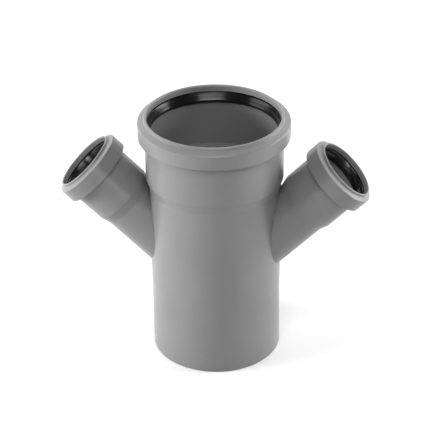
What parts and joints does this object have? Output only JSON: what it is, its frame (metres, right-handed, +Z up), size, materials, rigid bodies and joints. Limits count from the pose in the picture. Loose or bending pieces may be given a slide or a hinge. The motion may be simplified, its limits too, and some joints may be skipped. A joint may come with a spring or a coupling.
{
  "type": "double wye",
  "caption": "Push-fit drain double wye: straight main pipe with a plain spigot foot, a ring-seal top socket, and slanted smaller branches with ring-seal sockets on opposite sides.",
  "frame": {"origin": "centre of the spigot's end face, which the fitting stands on", "axes": "+Z up the main pipe to the top socket, +X out along the right branch, +Y across both branches"},
  "size_m": [0.2608, 0.1276, 0.22],
  "materials": {
    "grey_plastic": "satin moulded polypropylene",
    "black_rubber": "smooth lubricated rubber"
  },
  "bodies": {
    "root": {"body": "grey_plastic", "main_seal": "black_rubber", "left_seal": "black_rubber", "right_seal": "black_rubber"}
  },
  "joints": []
}
